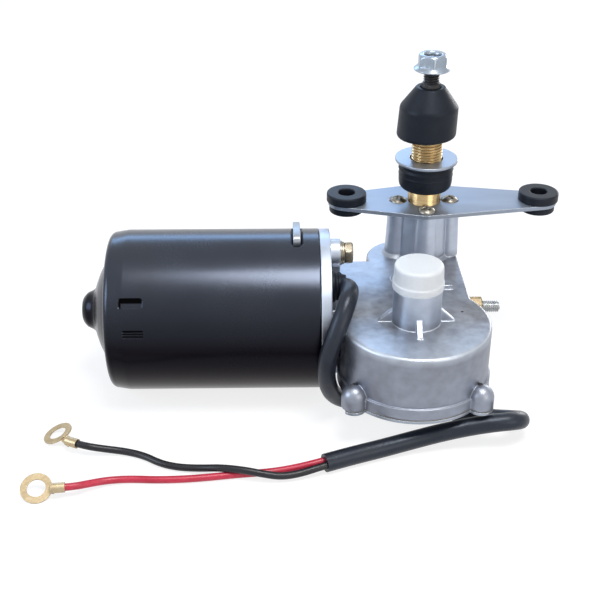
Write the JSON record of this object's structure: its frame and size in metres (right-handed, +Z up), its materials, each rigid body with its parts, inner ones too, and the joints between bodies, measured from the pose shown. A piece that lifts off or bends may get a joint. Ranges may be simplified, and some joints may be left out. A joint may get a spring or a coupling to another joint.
{
  "type": "wiper motor",
  "caption": "Geared electric motor with a crank-and-rocker drive to one upright threaded spindle, on a grommeted mounting plate, with a two-wire cable.",
  "frame": {"origin": "spindle axis at the top face of the mounting plate", "axes": "+X along the motor axis from can to gearbox end, +Z up along the spindle, +Y to the side of the gearbox that carries the spindle"},
  "size_m": [0.2602, 0.1623, 0.1601],
  "materials": {
    "cast_alloy": "satin die cast",
    "zinc_plate": "bright zinc plated",
    "bright_steel": "ground",
    "dark_steel": "black oxide",
    "can_paint": "black satin paint",
    "rubber_black": "matt",
    "brass_sleeve": "turned",
    "yellow_zinc": "yellow passivated steel",
    "sintered_bronze": "oil soaked",
    "white_plastic": "translucent white",
    "gear_nylon": "moulded",
    "copper_wire": "enamelled copper",
    "lamination": "blued sheet stack",
    "ferrite": "sintered ferrite",
    "card": "phenolic paper",
    "carbon": "pressed carbon",
    "cable_black": "PVC sleeve",
    "wire_red": "PVC insulation",
    "wire_black": "PVC insulation",
    "terminal_brass": "stamped",
    "seal_paper": "cork rubber"
  },
  "bodies": {
    "base": {"gear_housing": "cast_alloy", "cover_gasket": "seal_paper", "cover_plate": "zinc_plate", "cover_screws": "zinc_plate", "mounting_plate": "zinc_plate", "plate_screws": "yellow_zinc", "plate_grommets": "rubber_black", "spindle_sleeve": "brass_sleeve", "spindle_bushes": "sintered_bronze", "panel_bush": "rubber_black", "panel_washer": "zinc_plate", "sleeve_nut": "zinc_plate", "spindle_cap": "rubber_black", "wheel_washer": "bright_steel", "wheel_bush": "sintered_bronze", "boss_cap": "white_plastic", "motor_can": "can_paint", "locating_lug": "cast_alloy", "magnets": "ferrite", "rear_bush": "sintered_bronze", "bush_retainer": "bright_steel", "end_shield": "zinc_plate", "brush_card": "card", "brush_boxes": "terminal_brass", "carbon_brushes": "carbon", "brush_springs": "bright_steel", "flange_bolts": "yellow_zinc", "flange_washers": "yellow_zinc", "front_bearing": "sintered_bronze", "end_bearing": "sintered_bronze", "thrust_pad": "bright_steel", "thrust_screw": "zinc_plate", "thrust_lock_nut": "yellow_zinc", "cable_sleeve": "cable_black", "cable_grommet": "rubber_black", "black_wire": "wire_black", "red_wire": "wire_red", "black_terminal": "terminal_brass", "red_terminal": "terminal_brass"},
    "rotor": {"rotor_shaft": "bright_steel", "worm": "bright_steel", "rotor_core": "lamination", "rotor_winding": "copper_wire", "commutator": "copper_wire"},
    "wheel": {"worm_wheel": "gear_nylon", "wheel_hub": "bright_steel", "wheel_shaft": "bright_steel", "wheel_clip": "dark_steel", "crank_pin": "bright_steel"},
    "spindle": {"spindle_shaft": "dark_steel", "spindle_clip": "dark_steel", "rocker_arm": "bright_steel", "rocker_pin": "bright_steel", "rocker_pin_clip": "dark_steel"},
    "rod": {"connecting_rod": "bright_steel", "rod_bushes": "sintered_bronze"},
    "nut": {"arm_nut": "zinc_plate"}
  },
  "joints": [
    {"name": "rotor_spin", "type": "hinge", "parent": "base", "child": "rotor", "pos_m": [0, -0.0364, -0.0429], "axis": [1, 0, 0], "continuous": true},
    {"name": "wheel_spin", "type": "hinge", "parent": "base", "child": "wheel", "pos_m": [-0.0102, -0.0704, -0.0429], "axis": [0, 0, 1], "continuous": true},
    {"name": "spindle_swing", "type": "hinge", "parent": "base", "child": "spindle", "pos_m": [0, 0, 0], "axis": [0, 0, 1], "range_deg": [-53, 53]},
    {"name": "rod_turn", "type": "hinge", "parent": "spindle", "child": "rod", "pos_m": [-0.01039, 0.00151, -0.0535], "axis": [0, 0, 1], "range_deg": [-53, 53]},
    {"name": "nut_lift", "type": "slide", "parent": "spindle", "child": "nut", "axis": [0, 0, 1], "range_m": [0, 0.03]}
  ],
  "couplings": [
    {"joint": "wheel_spin", "follows": "rotor_spin", "ratio": 0.02},
    {"joint": "rod_turn", "follows": "spindle_swing", "ratio": -1}
  ]
}
